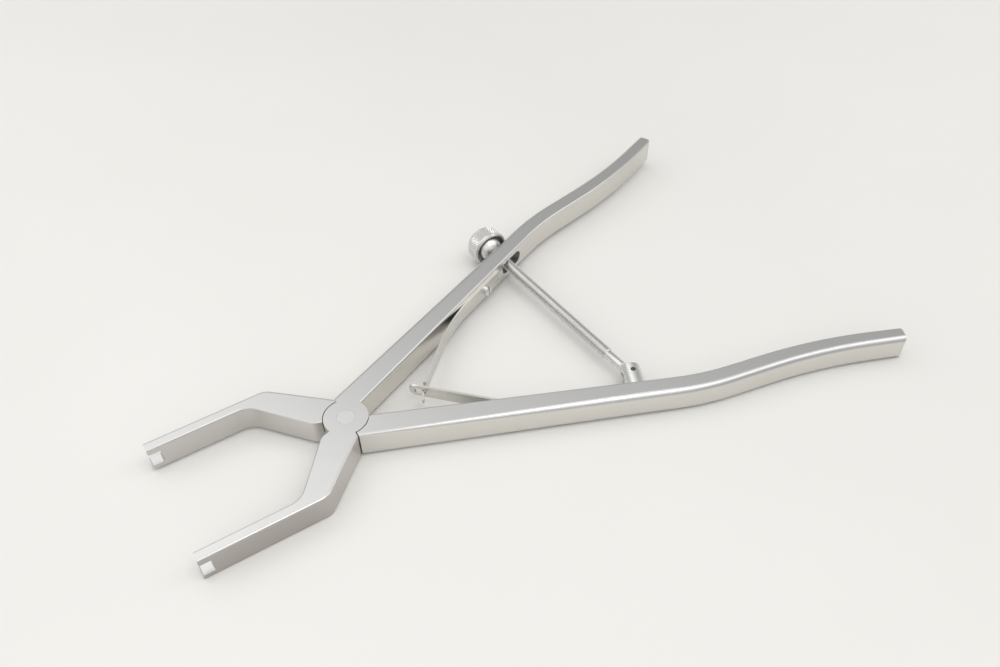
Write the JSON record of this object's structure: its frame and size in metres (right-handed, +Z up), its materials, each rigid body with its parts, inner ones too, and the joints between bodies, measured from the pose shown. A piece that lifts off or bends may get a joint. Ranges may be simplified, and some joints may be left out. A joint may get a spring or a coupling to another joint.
{
  "type": "spinal compression forceps",
  "caption": "Two-arm pivoted compression forceps with open slots at the jaw tips, leaf springs between the handles and a threaded rod with a knurled nut.",
  "frame": {"origin": "on the pivot axis, in the plane of the arms' undersides", "axes": "+X from the pivot towards the jaw tips, +Y towards the handle that carries the clevis post, +Z up through the thickness of the arms"},
  "size_m": [0.2948, 0.1834, 0.0174],
  "materials": {
    "satin_steel": "satin, bead blasted and lightly brushed along the arms",
    "pin_steel": "ground flush, satin",
    "rod_steel": "turned, thread bright",
    "nut_steel": "turned and diamond knurled, bright",
    "spring_steel": "rolled spring strip, satin"
  },
  "bodies": {
    "post_side_arm": {"arm_post_side": "satin_steel", "pivot_pin": "pin_steel", "clevis_post": "nut_steel", "clevis_pin": "rod_steel", "spring_leaf_slotted": "spring_steel", "spring_screw_slotted": "nut_steel"},
    "nut_side_arm": {"arm_nut_side": "satin_steel", "spring_leaf_tongue": "spring_steel", "spring_screw_tongue": "nut_steel"},
    "rod": {"threaded_rod": "rod_steel"},
    "washer": {"domed_washer": "nut_steel"},
    "nut": {"knurled_nut": "nut_steel"}
  },
  "joints": [
    {"name": "jaw_close", "type": "hinge", "parent": "post_side_arm", "child": "nut_side_arm", "pos_m": [0, 0, 0], "axis": [0, 0, -1], "range_deg": [0, 30], "stiffness_Nm_per_rad": 3, "springref_deg": -5.73, "deforming": ["spring_leaf_tongue", "spring_leaf_slotted"]},
    {"name": "rod_swing", "type": "hinge", "parent": "post_side_arm", "child": "rod", "pos_m": [-0.1127, 0.04091, 0.006], "axis": [0, 0, -1], "range_deg": [0, 15]},
    {"name": "nut_travel", "type": "slide", "parent": "rod", "child": "washer", "axis": [-0.0615, 0.9981, 0], "range_m": [0, 0.0603]},
    {"name": "nut_turn", "type": "hinge", "parent": "washer", "child": "nut", "pos_m": [-0.10609, -0.06641, 0.006], "axis": [0.0615, -0.9981, 0], "continuous": true}
  ],
  "couplings": [
    {"joint": "rod_swing", "follows": "jaw_close", "ratio": 0.5},
    {"joint": "nut_travel", "follows": "jaw_close", "m_per_rad": 0.1149}
  ]
}
